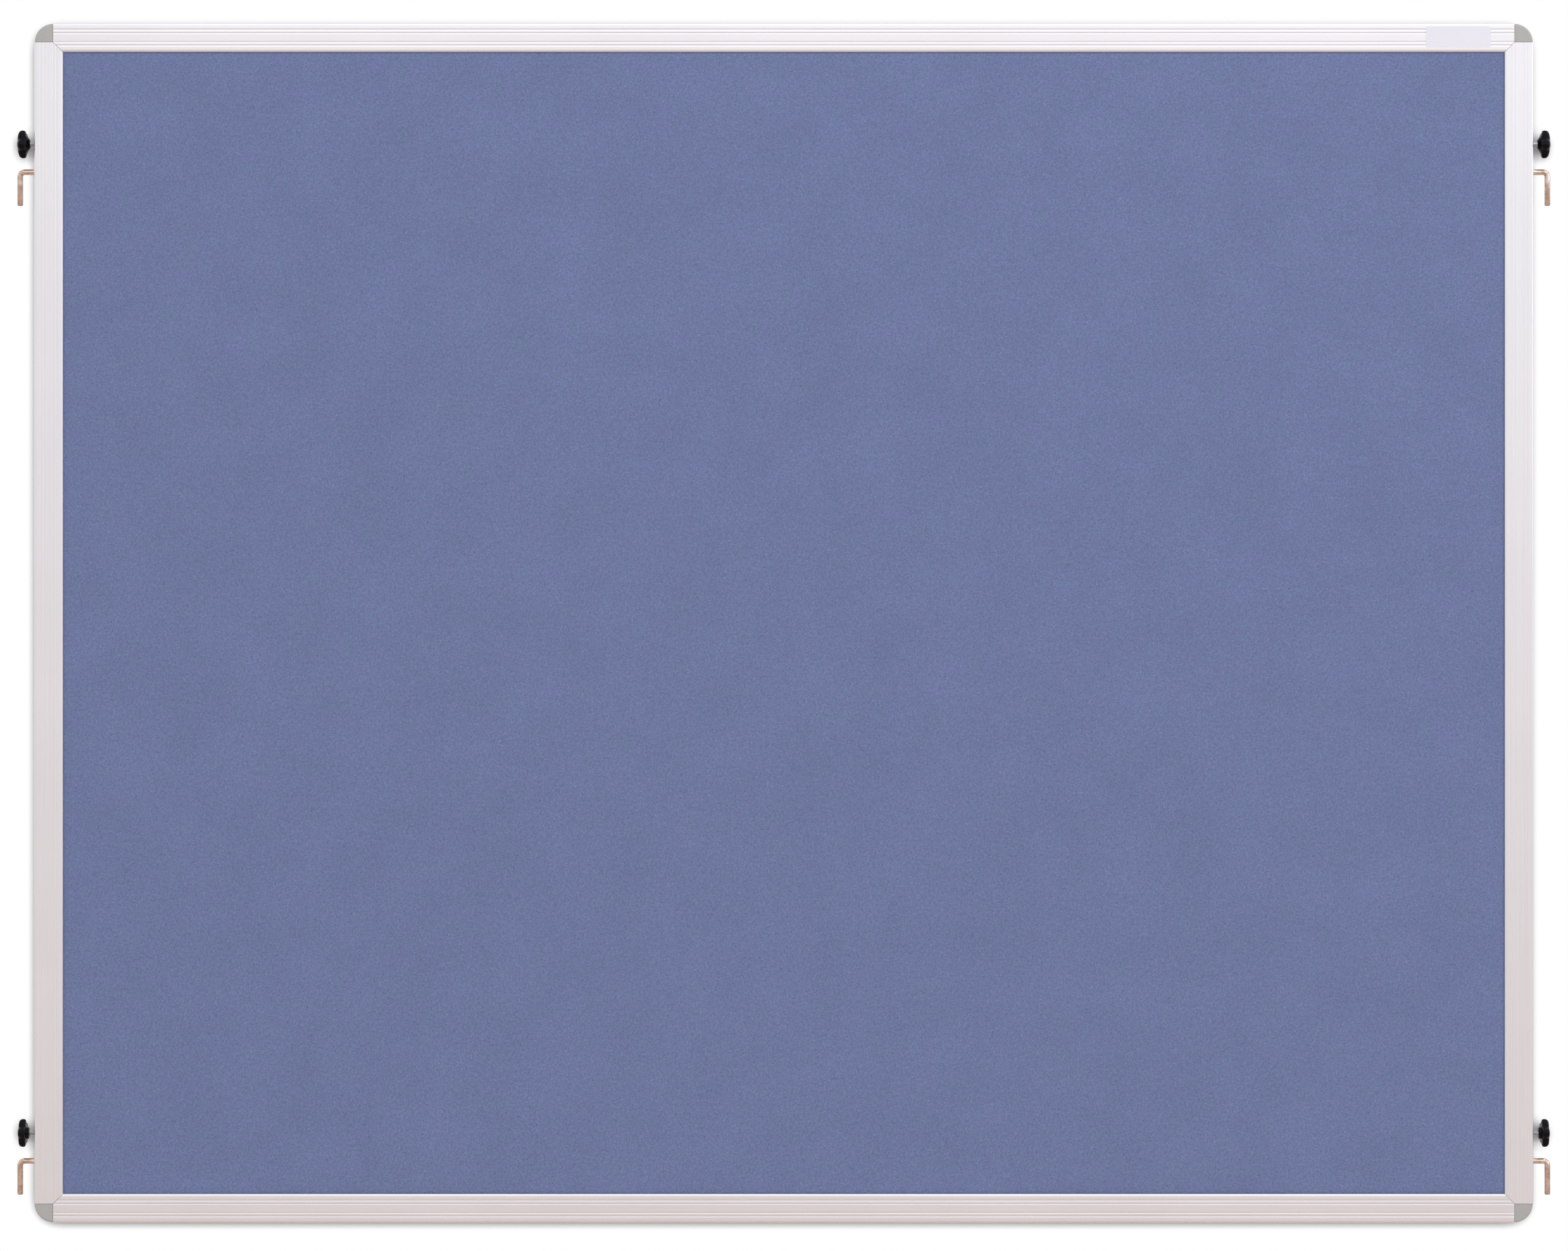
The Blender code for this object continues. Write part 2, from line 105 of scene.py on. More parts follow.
def smooth(piece, degrees=35):
    """Shades curves smooth and keeps the edges that are sharper than the angle."""
    only(piece)
    bpy.ops.object.shade_smooth_by_angle(angle=radians(degrees))


def finish_with(piece, material):
    """Gives a piece one material in place of what it has."""
    piece.data.materials.clear()
    piece.data.materials.append(material)


def hand_over(piece, body, slot, *nodes):
    """Ties a piece to its body and hides the solids that it stands for. The finish's slot is not used."""
    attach(piece, body)
    if nodes:
        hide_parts(*nodes)
    print(piece.name, len(piece.data.polygons), "faces, rides on", body)


# %% [markdown]
# ## Camera
#
# The board is seen square on, from half its height. A lens of about 100 mm at four and a half metres
# gives the slight perspective in which the grips and hooks, a little behind the front, move inwards.

# %% The camera
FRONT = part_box("frame_top")[0].y
VIEW_CENTRE = Vector((0.0002, FRONT, 0.5975))
VIEW_WIDTH = 1.568
CAMERA_DISTANCE = 4.5

bpy.ops.object.camera_add(
    location=VIEW_CENTRE - Vector((0, CAMERA_DISTANCE, 0)), rotation=(pi / 2, 0, 0)
)
camera = bpy.context.object
camera.name = "camera"
camera.data.sensor_fit = "HORIZONTAL"
camera.data.lens = camera.data.sensor_width * CAMERA_DISTANCE / VIEW_WIDTH
bpy.context.scene.camera = camera
bpy.context.scene.view_settings.view_transform = "Standard"
print("lens", round(camera.data.lens, 1), "mm")

# %% [markdown]
# ## Backdrop and floor
#
# The board hangs just in front of a white wall, on which it leaves a narrow soft shadow: the wall is
# plain white, and Ambient Occlusion darkens it where the board is close. The wall has one side: rays
# that come to it from behind pass, and so do all that don't start in the camera, so that the board's
# back is lit as freely as its front. The floor is plain and pale, a little warm.

# %% Helpers for node materials


def add_node(tree, kind, settings=None, **sockets):
    """Adds a node, and sets or links its inputs by name."""
    made = tree.nodes.new(kind)
    for key, value in (settings or {}).items():
        setattr(made, key, value)
    for key, value in sockets.items():
        socket = made.inputs[key.replace("_", " ")]
        if isinstance(value, bpy.types.NodeSocket):
            tree.links.new(value, socket)
        else:
            socket.default_value = value
    return made


def add_maths(tree, operation, first, second=0.0):
    """Adds a Math node and returns its result."""
    made = tree.nodes.new("ShaderNodeMath")
    made.operation = operation
    for socket, value in zip(made.inputs, (first, second)):
        if isinstance(value, bpy.types.NodeSocket):
            tree.links.new(value, socket)
        else:
            socket.default_value = value
    return made.outputs[0]


def add_mix(tree, first, second, share):
    """Mixes two values: the first one's share, and the rest from the second."""
    return add_maths(
        tree, "ADD",
        add_maths(tree, "MULTIPLY", first, share),
        add_maths(tree, "MULTIPLY", second, round(1 - share, 2)),
    )


def add_noise(tree, place, scale, **settings):
    """Adds a noise texture and returns its value."""
    return add_node(tree, "ShaderNodeTexNoise", Vector=place, Scale=scale, **settings).outputs["Fac"]


def add_range(tree, value, source, target):
    """Maps one range of a value onto another and returns the result."""
    return add_node(
        tree, "ShaderNodeMapRange", Value=value,
        From_Min=source[0], From_Max=source[1], To_Min=target[0], To_Max=target[1],
    ).outputs[0]


def add_ramp(tree, value, stops):
    """Adds a colour ramp with (position, colour) stops and returns its colour."""
    ramp = add_node(tree, "ShaderNodeValToRGB", Fac=value)
    marks = ramp.color_ramp.elements
    for index, (position, colour) in enumerate(stops):
        mark = marks[0] if index == 0 else marks.new(position)
        mark.position = position
        mark.color = (*colour, 1)
    marks.remove(marks[len(stops)])
    return ramp.outputs["Color"]


def new_material(name, colour, roughness=0.5, metallic=0.0):
    """Starts a material and returns it with its node tree and its shader."""
    made = bpy.data.materials.new(name)
    made.use_nodes = True
    shader = made.node_tree.nodes["Principled BSDF"]
    shader.inputs["Base Color"].default_value = (*colour, 1)
    shader.inputs["Roughness"].default_value = roughness
    shader.inputs["Metallic"].default_value = metallic
    return made, made.node_tree, shader


def object_place(tree):
    """Where a point lies, in metres, as Object coordinates."""
    return add_node(tree, "ShaderNodeTexCoord").outputs["Object"]


def add_relief(tree, shader, height, strength, depth):
    """Gives a shader fine bumps that follow a value."""
    bump = add_node(tree, "ShaderNodeBump", Height=height, Strength=strength, Distance=depth)
    tree.links.new(bump.outputs[0], shader.inputs["Normal"])


# %% The wall
BACKDROP_Y = 15.2 * MM
BACKDROP_SIZE = (5.0, 3.6)
SHADOW_REACH = 13 * MM
SHADOW_STOPS = ((0.52, 0.21), (0.94, 1.0))  # the share of open sky, and how white the wall then is
# The shadow leans away from this direction, so it is wider below the board and on its left.
SHADOW_LEAN = (0.24, -0.88, 0.42)
FLOOR_Z = -900 * MM

bpy.ops.mesh.primitive_plane_add(size=1, rotation=(pi / 2, 0, 0))
backdrop = bpy.context.object
backdrop.name = "backdrop"
backdrop.scale = (BACKDROP_SIZE[0], BACKDROP_SIZE[1], 1)
backdrop.location = (0, BACKDROP_Y, FLOOR_Z + BACKDROP_SIZE[1] / 2)
settle(backdrop)

wall_paint = bpy.data.materials.new("white wall")
wall_paint.use_nodes = True
tree = wall_paint.node_tree
tree.nodes.clear()
lean = add_node(tree, "ShaderNodeCombineXYZ", **dict(zip("XYZ", SHADOW_LEAN))).outputs[0]
open_sky = add_node(
    tree, "ShaderNodeAmbientOcclusion", {"samples": 24}, Distance=SHADOW_REACH, Normal=lean
).outputs["AO"]
whiteness = add_ramp(tree, open_sky, [(share, (level,) * 3) for share, level in SHADOW_STOPS])
white = add_node(tree, "ShaderNodeEmission", Color=whiteness, Strength=1.0)
camera_ray = add_node(tree, "ShaderNodeLightPath").outputs["Is Camera Ray"]
from_behind = add_node(tree, "ShaderNodeNewGeometry").outputs["Backfacing"]
shown = add_maths(tree, "MAXIMUM", add_maths(tree, "SUBTRACT", camera_ray, from_behind), 0.0)
one_sided = add_node(tree, "ShaderNodeMixShader", Fac=shown)
tree.links.new(add_node(tree, "ShaderNodeBsdfTransparent").outputs[0], one_sided.inputs[1])
tree.links.new(white.outputs[0], one_sided.inputs[2])
add_node(tree, "ShaderNodeOutputMaterial", Surface=one_sided.outputs[0])
finish_with(backdrop, wall_paint)
print("wall at y =", BACKDROP_Y)

# %% The floor
FLOOR_SIZE = 40.0
FLOOR_COLOUR = (0.745, 0.585, 0.495)

bpy.ops.mesh.primitive_plane_add(size=FLOOR_SIZE, location=(0, 0, FLOOR_Z))
floor = bpy.context.object
floor.name = "floor"
settle(floor)
finish_with(floor, new_material("pale floor", FLOOR_COLOUR, 0.75)[0])
print("floor at z =", FLOOR_Z)

# %% [markdown]
# ## Light
#
# The sky is white at eye level, a little warmer below, and a little brighter and cooler above, which
# draws the light line under each groove of the level bars. It is the same to the left and to the
# right, so the grooves of the upright bars hardly show. One wide soft lamp stands above and a little
# to the right. A weak cool one far behind the camera is mirrored, softly, in the right bar, and one
# beside the board draws the light line on the left bar's rounded lip.

# %% The sky and the lamps
SKY = (  # 0 is straight down, 0.5 is level and 1 is straight up
    (0.0, (0.92, 0.88, 0.86)),
    (0.47, (0.93, 0.90, 0.885)),
    (0.50, (0.97, 0.96, 0.96)),
    (0.56, (1.03, 1.045, 1.085)),
    (0.75, (1.08, 1.10, 1.16)),
    (1.0, (1.12, 1.14, 1.21)),
)
SKY_STRENGTH = 0.88
LAMPS = {  # place, target, size, power and colour
    "soft lamp above": ((0.9, -2.0, 3.0), (0.1, 0, 0.8), (5.6, 2.6), 28, (1.0, 0.99, 0.97)),
    "window behind the camera": ((1.6, -4.6, 1.75), (0.7, 0, 1.0), (1.5, 1.7), 2.9, (0.72, 0.84, 1.0)),
    "window on the right": ((4.2, -1.3, 1.8), (0.0, 0, 0.8), (1.6, 1.8), 16, (0.94, 0.97, 1.0)),
}

sky = bpy.data.worlds.new("studio sky")
bpy.context.scene.world = sky
sky.use_nodes = True
tree = sky.node_tree
tree.nodes.clear()
direction = add_node(tree, "ShaderNodeTexCoord").outputs["Generated"]
rise = add_node(tree, "ShaderNodeSeparateXYZ", Vector=direction).outputs["Z"]
rise = add_maths(tree, "ADD", add_maths(tree, "MULTIPLY", rise, 0.5), 0.5)
rays = add_node(tree, "ShaderNodeLightPath").outputs
seen = add_maths(tree, "MAXIMUM", rays["Is Camera Ray"], rays["Is Glossy Ray"])
seen = add_maths(tree, "MAXIMUM", seen, rays["Is Transmission Ray"])
strength = add_maths(tree, "ADD", add_maths(tree, "MULTIPLY", seen, 1 - SKY_STRENGTH), SKY_STRENGTH)
soft_sky = add_node(tree, "ShaderNodeBackground", Color=add_ramp(tree, rise, SKY), Strength=strength)
add_node(tree, "ShaderNodeOutputWorld", Surface=soft_sky.outputs[0])

for lamp_name, (lamp_place, target, size, power, colour) in LAMPS.items():
    bpy.ops.object.light_add(type="AREA", location=lamp_place)
    lamp = bpy.context.object
    lamp.name = lamp_name
    lamp.rotation_euler = (Vector(target) - Vector(lamp_place)).to_track_quat("-Z", "Y").to_euler()
    lamp.data.shape = "RECTANGLE"
    lamp.data.size, lamp.data.size_y = size
    lamp.data.energy = power
    lamp.data.color = colour
    print(lamp_name, power, "W")

# %% [markdown]
# ## Anodised aluminium
#
# The bars are extruded, so every fine line on them runs along the bar, and the anodising leaves a
# satin, almost white skin. A noise that is stretched along one axis gives such lines. Level and
# upright bars need it along X and along Z, so the finish is made twice, from one recipe.

# %% The bars' finish
ALUMINIUM_DARK = (0.745, 0.742, 0.768)
ALUMINIUM_LIGHT = (0.815, 0.812, 0.840)
LINES_ACROSS = 2600.0  # the noise's scale across a bar
LINES_ALONG = 6.0
MIDDLE = (0.3, 0.7)  # the range that a noise's value mostly keeps to


def anodised(name, axis):
    """A satin extruded finish with its fine lines along axis 0, X, or axis 2, Z."""
    made, tree, shader = new_material(name, ALUMINIUM_LIGHT, metallic=0.82)
    place = object_place(tree)
    stretch = [LINES_ACROSS] * 3
    stretch[axis] = LINES_ALONG
    lines_at = add_node(tree, "ShaderNodeMapping", Vector=place, Scale=stretch).outputs[0]
    lines = add_noise(tree, lines_at, 1.0, Detail=4.0, Roughness=0.6)
    cloud = add_noise(tree, place, 7.0, Detail=3.0)
    grain = add_noise(tree, place, 1500.0, Detail=2.0)
    stops = list(zip(MIDDLE, (ALUMINIUM_DARK, ALUMINIUM_LIGHT)))
    tree.links.new(add_ramp(tree, add_mix(tree, lines, cloud, 0.6), stops), shader.inputs["Base Color"])
    tree.links.new(add_range(tree, lines, MIDDLE, (0.33, 0.44)), shader.inputs["Roughness"])
    relief = add_maths(tree, "ADD", lines, add_maths(tree, "MULTIPLY", grain, 0.35))
    add_relief(tree, shader, relief, 0.12, 0.02 * MM)
    return made


aluminium_level = anodised("anodised aluminium, level bars", 0)
aluminium_upright = anodised("anodised aluminium, upright bars", 2)
print(aluminium_level.name, "and", aluminium_upright.name)

# %% [markdown]
# ## Grey corner plastic
#
# The corners are moulded and finely textured. The texture is shallow: a noise of about a third of a
# millimetre moves the surface and the gloss a little, and a larger one keeps the tone from being flat.
# The black of the grips and the white film of the label are made by the same recipe.

# %% The moulded finishes


def moulded(name, colour, spread, roughness, texture_scale, relief):
    """A moulded plastic with a fine spark-eroded texture."""
    made, tree, shader = new_material(name, colour, roughness)
    place = object_place(tree)
    texture = add_noise(tree, place, texture_scale, Detail=3.0, Roughness=0.6)
    flow = add_noise(tree, place, 60.0, Detail=2.0)
    tones = [[channel * factor for channel in colour] for factor in (1 - spread, 1 + spread)]
    colour = add_ramp(tree, add_mix(tree, texture, flow, 0.5), list(zip(MIDDLE, tones)))
    tree.links.new(colour, shader.inputs["Base Color"])
    gloss = add_range(tree, texture, MIDDLE, (roughness - 0.06, roughness + 0.08))
    tree.links.new(gloss, shader.inputs["Roughness"])
    add_relief(tree, shader, texture, 0.3, relief)
    return made


cap_plastic = moulded("grey moulded plastic", (0.425, 0.435, 0.425), 0.05, 0.48, 2800.0, 0.03 * MM)
grip_plastic = moulded("black moulded plastic", (0.0018, 0.0022, 0.0042), 0.15, 0.28, 2400.0, 0.02 * MM)
grip_plastic.node_tree.nodes["Principled BSDF"].inputs["Specular IOR Level"].default_value = 0.10
label_film = moulded("blank white film", (0.79, 0.81, 0.90), 0.01, 0.34, 900.0, 0.004 * MM)
print(cap_plastic.name + ",", grip_plastic.name, "and", label_film.name)

# %% [markdown]
# ## Zinc plating
#
# Screws, rivet nuts and studs are plated bright. The hooks have a warmer, faintly copper tone, as
# passivated rod has. Both are metal with soft clouds in tone and gloss, and the rods have short
# drawing lines as well.

# %% The plated finishes
CLOUD_SPAN = (0.35, 0.65)
DRAWN_LINES = (900.0, 3000.0, 900.0)


def plated(name, dark, light, edge_tint, roughness, drawn):
    """Plated steel with clouds in its tone and, on drawn rod, fine lines."""
    made, tree, shader = new_material(name, light, roughness, 1.0)
    shader.inputs["Specular Tint"].default_value = (*edge_tint, 1)
    place = object_place(tree)
    cloud = add_noise(tree, place, 160.0, Detail=4.0, Roughness=0.6)
    relief = add_noise(tree, place, 2500.0, Detail=2.0)
    tree.links.new(add_ramp(tree, cloud, list(zip(CLOUD_SPAN, (dark, light)))), shader.inputs["Base Color"])
    gloss = add_range(tree, cloud, CLOUD_SPAN, (roughness + 0.08, roughness - 0.04))
    tree.links.new(gloss, shader.inputs["Roughness"])
    if drawn:
        lines_at = add_node(tree, "ShaderNodeMapping", Vector=place, Scale=DRAWN_LINES).outputs[0]
        relief = add_maths(tree, "ADD", relief, add_noise(tree, lines_at, 1.0, Detail=3.0))
    add_relief(tree, shader, relief, 0.2, 0.02 * MM)
    return made


bright_zinc = plated(
    "bright zinc plating", (0.60, 0.61, 0.63), (0.76, 0.77, 0.79), (0.45, 0.45, 0.47), 0.26, False
)
warm_zinc = plated(
    "warm plated rod", (0.48, 0.34, 0.25), (0.74, 0.63, 0.565), (0.32, 0.24, 0.20), 0.18, True
)
print(bright_zinc.name, "and", warm_zinc.name)

# %% [markdown]
# ## Felt
#
# Needled felt is matt and slightly mottled: bluer and more violet patches about a centimetre across,
# a faint haze some centimetres wide, and short fibres and tufts on top that catch a little light. Each
# size of detail is a noise of its own, and sheen gives the soft look of a surface of fibres.

# %% The felt's finish
FELT_BLUE = (0.1560, 0.2090, 0.3780)
FELT_VIOLET = (0.1615, 0.2015, 0.3860)

felt_cloth, tree, shader = new_material("blue grey felt", FELT_BLUE, 1.0)
place = object_place(tree)
patches = add_noise(tree, place, 80.0, Detail=5.0, Roughness=0.6)
haze = add_noise(tree, place, 16.0, Detail=4.0, Roughness=0.55)
fibres = add_noise(tree, place, 900.0, Detail=4.0, Roughness=0.65, Distortion=1.0)
tufts = add_noise(tree, place, 420.0, Detail=2.0, Distortion=0.6)
fleck = add_mix(tree, fibres, tufts, 0.74)
fleck_tone = add_range(tree, fleck, MIDDLE, (0.64, 1.36))
haze_tone = add_range(tree, haze, MIDDLE, (0.965, 1.035))
tinted = add_node(
    tree, "ShaderNodeVectorMath", {"operation": "SCALE"},
    Vector=add_ramp(tree, patches, ((0.38, FELT_BLUE), (0.62, FELT_VIOLET))),
    Scale=add_maths(tree, "MULTIPLY", fleck_tone, haze_tone),
)
tree.links.new(tinted.outputs[0], shader.inputs["Base Color"])
add_relief(tree, shader, fleck, 0.35, 0.25 * MM)
shader.inputs["Sheen Weight"].default_value = 0.08
shader.inputs["Sheen Roughness"].default_value = 0.5
shader.inputs["Sheen Tint"].default_value = (0.75, 0.80, 1.0, 1)
shader.inputs["Specular IOR Level"].default_value = 0.2
print(felt_cloth.name)

# %% [markdown]
# ## Grooved bars
#
# Each bar is one aluminium extrusion with four V grooves, cut square at the corner pieces and mitred
# on its inner strip. The solid already has that shape, so a copy of it is taken. Its loose triangles
# are merged into whole faces, every edge is eased as on a real extrusion, and the normals are weighted
# so that the flat lands stay flat in the light. The grooves are made shallower and rounder than the
# solid's, because that is how faintly the real ones shade.

# %% Copy a solid and ease its edges
FACE_WIDTH = 29 * MM
half_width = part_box("frame_right")[1].x
board_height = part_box("frame_top")[1].z
half_depth = -FRONT
SHARP = radians(24)  # an edge that turns by more is eased
GROOVE_DEPTH = 0.6 * MM
GROOVE_FILL = 0.33 * MM  # how far the bottom of a groove is raised
GROOVE_ZONE = (5 * MM, 24 * MM)  # where the grooves lie, from the frame's outside
LONG_EDGE = 300 * MM
BAR_EASING = (0.07 * MM, 0.46 * MM, 4)  # width, width in the grooves, segments
CAP_EASING = (0.12 * MM, 0.12 * MM, 2)


def in_groove(edge):
    """Whether an edge is one of the long ones of a bar's V grooves."""
    first, second = (vert.co for vert in edge.verts)
    if (second - first).length < LONG_EDGE or abs(first.y) < half_depth - GROOVE_DEPTH - 0.1 * MM:
        return False
    middle = (first + second) / 2
    outside = min(half_width - abs(middle.x), middle.z, board_height - middle.z)
    return GROOVE_ZONE[0] < outside < GROOVE_ZONE[1]


def soften_groove(vert):
    """Raises a point that lies at the bottom of a groove."""
    if abs(abs(vert.co.y) - (half_depth - GROOVE_DEPTH)) < 0.02 * MM:
        vert.co.y += (1 if vert.co.y > 0 else -1) * GROOVE_FILL


def eased_copy(node, name, width, groove_width, segments):
    """A copy of a solid with whole faces and rounded edges, those of the grooves rounder."""
    piece = bpy.data.objects.new(name, frame["nodes"][node].data.copy())
    piece.data.name = name
    bpy.context.scene.collection.objects.link(piece)
    only(piece)
    bpy.ops.mesh.customdata_custom_splitnormals_clear()
    bpy.ops.object.mode_set(mode="EDIT")
    bpy.ops.mesh.select_all(action="SELECT")
    bpy.ops.mesh.remove_doubles(threshold=0.002 * MM)
    bpy.ops.mesh.dissolve_limited(angle_limit=radians(0.5))
    bpy.ops.mesh.normals_make_consistent(inside=False)
    mesh = bmesh.from_edit_mesh(piece.data)
    weight = mesh.edges.layers.float.new("bevel_weight_edge")
    grooves = set()
    for edge in mesh.edges:
        if len(edge.link_faces) == 2 and edge.calc_face_angle() > SHARP:
            edge[weight] = 1.0 if in_groove(edge) else width / groove_width
            if in_groove(edge):
                grooves.update(edge.verts)
    for vert in grooves:
        soften_groove(vert)
    bmesh.update_edit_mesh(piece.data)
    bpy.ops.object.mode_set(mode="OBJECT")
    easing = piece.modifiers.new("eased edges", "BEVEL")
    easing.width = groove_width
    easing.segments = segments
    easing.limit_method = "WEIGHT"
    bpy.ops.object.shade_smooth()
    flat = piece.modifiers.new("flat lands", "WEIGHTED_NORMAL")
    flat.keep_sharp = False
    apply_modifiers(piece)
    return piece


# %% The four bars
BAR_FINISHES = {
    "top": aluminium_level, "bottom": aluminium_level,
    "left": aluminium_upright, "right": aluminium_upright,
}

for side, finish in BAR_FINISHES.items():
    bar = eased_copy("frame_" + side, "grooved_bar_" + side, *BAR_EASING)
    finish_with(bar, finish)
    hand_over(bar, "board", "aluminium", "frame_" + side)

# %% [markdown]
# ## Corner mouldings
#
# A quarter-round plastic head closes each corner, and its two ribbed legs plug into the bars. The
# solid has both, so it is copied and eased in the same way, with a softer edge, as moulded parts have.

# %% The four corners
CORNERS = ("lower_left", "lower_right", "upper_left", "upper_right")

for place_name in CORNERS:
    cap = eased_copy("corner_cap_" + place_name, "corner_moulding_" + place_name, *CAP_EASING)
    finish_with(cap, cap_plastic)
    hand_over(cap, "board", "cap_plastic", "corner_cap_" + place_name)

# %% [markdown]
# ## The two felts
#
# A felt is cut a little smaller than the outside of the frame, glued flat and held by its edges. It
# starts as a grid with finer cuts along the lip, and Solidify gives it its thickness. The outer face
# is then pressed in under the lip, stands a third of a millimetre proud elsewhere, and isn't quite
# even.

# %% Make a felt and lay it in place
PRESS_DEPTH = 0.55 * MM  # how far the lip presses the felt in
PRESS_WIDTH = 7 * MM  # how far from the lip the felt has risen to its full height
FELT_RISE = 0.32 * MM
FELT_UNEVEN = 0.10 * MM
FELT_WAVES = ((11, 0, 1.0), (31, 4, 0.6))  # the noise's scale, its layer and its share
FELT_CELL = 8 * MM
CREASE_LINES = (0.0, 0.9 * MM, 2.2 * MM, 4.2 * MM, 7 * MM)  # the finer cuts' distances from the lip


def felt_height(x, z):
    """How far the felt stands out at a point, pressed in along the lip and a little uneven."""
    inside = min(half_width - FACE_WIDTH - abs(x), z - FACE_WIDTH, board_height - FACE_WIDTH - z)
    eased = 1 - (1 - max(0.0, min(1.0, inside / PRESS_WIDTH))) ** 3
    waves = sum(
        share * noise.noise(Vector((x * scale, layer, z * scale))) for scale, layer, share in FELT_WAVES
    )
    free = FELT_RISE + FELT_UNEVEN * waves
    return eased * (free + PRESS_DEPTH) - PRESS_DEPTH


def cut_line(middle, normal):
    """Cuts all of the open mesh along a plane and keeps both sides."""
    bpy.ops.mesh.select_all(action="SELECT")
    bpy.ops.mesh.bisect(plane_co=middle, plane_no=normal)


for face, outwards in (("front", -1), ("rear", 1)):
    low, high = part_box("felt_" + face)
    width, length = high.x - low.x, high.z - low.z
    columns, rows = round(width / FELT_CELL), round(length / FELT_CELL)
    bpy.ops.object.select_all(action="DESELECT")
    bpy.ops.mesh.primitive_grid_add(
        x_subdivisions=columns, y_subdivisions=rows, size=1, rotation=(pi / 2, 0, 0)
    )
    felt = bpy.context.object
    felt.name = felt.data.name = "felt_sheet_" + face
    felt.scale = (width, length, 1)
    outer = low.y if outwards < 0 else high.y
    felt.location = ((low.x + high.x) / 2, outer, (low.z + high.z) / 2)
    settle(felt)
    bpy.ops.object.mode_set(mode="EDIT")
    for line in CREASE_LINES:
        for side in (-1, 1):
            cut_line((side * (half_width - FACE_WIDTH - line), 0, 0), (1, 0, 0))
            cut_z = board_height / 2 + side * (board_height / 2 - FACE_WIDTH - line)
            cut_line((0, 0, cut_z), (0, 0, 1))
    bpy.ops.object.mode_set(mode="OBJECT")
    wall = felt.modifiers.new("thickness", "SOLIDIFY")
    wall.thickness = high.y - low.y
    wall.offset = -1.0 if outwards < 0 else 1.0
    apply_modifiers(felt)
    for vert in felt.data.vertices:
        if abs(vert.co.y - outer) < 0.01 * MM:
            vert.co.y += outwards * felt_height(vert.co.x, vert.co.z)
    only(felt)
    bpy.ops.object.mode_set(mode="EDIT")
    bpy.ops.mesh.select_all(action="SELECT")
    bpy.ops.mesh.normals_make_consistent(inside=False)
    bpy.ops.object.mode_set(mode="OBJECT")
    smooth(felt)
    finish_with(felt, felt_cloth)
    hand_over(felt, "board", "felt", "felt_" + face)
    print("felt cut to", round(width, 4), "x", round(length, 4), "m")

# %% [markdown]
# ## Stacking rings
#
# Grips, studs, rivet nuts, screws and rods are all round in one way or another. Each starts as a
# circle that is extruded again and again, and every new ring is set to its height and radius. A star
# or a thread only needs a radius that changes with the angle.

# %% A body from rings


def set_ring(piece, height, radius):
    """Moves the selected ring to a height, and to a radius that may depend on the angle."""
    mesh = bmesh.from_edit_mesh(piece.data)
    for vert in mesh.verts:
        if vert.select:
            angle = atan2(vert.co.x, -vert.co.y)
            out = radius(angle) if callable(radius) else radius
            vert.co = (out * sin(angle), -out * cos(angle), height)
    bmesh.update_edit_mesh(piece.data)


def stack_rings(name, rings, sides, closed=False):
    """Extrudes a circle through (height, radius) rings about +Z. The ends are filled, or joined."""
    bpy.ops.object.select_all(action="DESELECT")
    bpy.ops.mesh.primitive_circle_add(vertices=sides, radius=1)
    piece = bpy.context.object
    piece.name = piece.data.name = name
    bpy.ops.object.mode_set(mode="EDIT")
    bpy.ops.mesh.select_all(action="SELECT")
    for index, (height, radius) in enumerate(rings):
        if index:
            bpy.ops.mesh.extrude_region_move()
        set_ring(piece, height, radius)
    bpy.ops.mesh.select_all(action="DESELECT")
    bpy.ops.mesh.select_mode(type="EDGE")
    bpy.ops.mesh.select_non_manifold()
    if closed:
        bpy.ops.mesh.bridge_edge_loops()
    else:
        bpy.ops.mesh.fill_holes(sides=0)
    bpy.ops.mesh.select_all(action="SELECT")
    bpy.ops.mesh.normals_make_consistent(inside=False)
    bpy.ops.mesh.select_mode(type="VERT")
    bpy.ops.object.mode_set(mode="OBJECT")
    print(name, "has", len(rings), "rings of", sides)
    return piece


def placed_copy(model, name, place, turn):
    """A copy with its own mesh, turned and put in place."""
    only(model)
    bpy.ops.object.duplicate(linked=False)
    piece = bpy.context.object
    piece.name = piece.data.name = name
    piece.rotation_euler = turn
    piece.location = place
    settle(piece)
    return piece


# %% [markdown]
# ## Star grips
#
# A star grip is moulded from black plastic over the collar of its stud. The upper two are coned
# behind and domed in front, the lower two have a stepped collar and a flat front. Five lobes come
# from a cosine, and the rings are smoothed by Subdivision Surface. Creased edges keep the bore
# and the cavity for the collar sharp.

# %% The grips' rings
LOBES = 5
LOBE_SHAPE = 0.8
LOBE_RADIUS = 14.4 * MM
VALLEY_RADIUS = 10.6 * MM
CAVITY = (4.6 * MM, 8.2 * MM, 4.75 * MM)  # from, to, radius
GRIP_SIDES = 80
CLEARANCE = 0.25 * MM  # round a stud in its grip and in its nut


def star(share):
    """The star's outline at a share of its full size."""
    def radius(angle):
        bulge = ((1 + cos(LOBES * angle)) / 2) ** LOBE_SHAPE
        return share * (VALLEY_RADIUS + (LOBE_RADIUS - VALLEY_RADIUS) * bulge)
    return radius


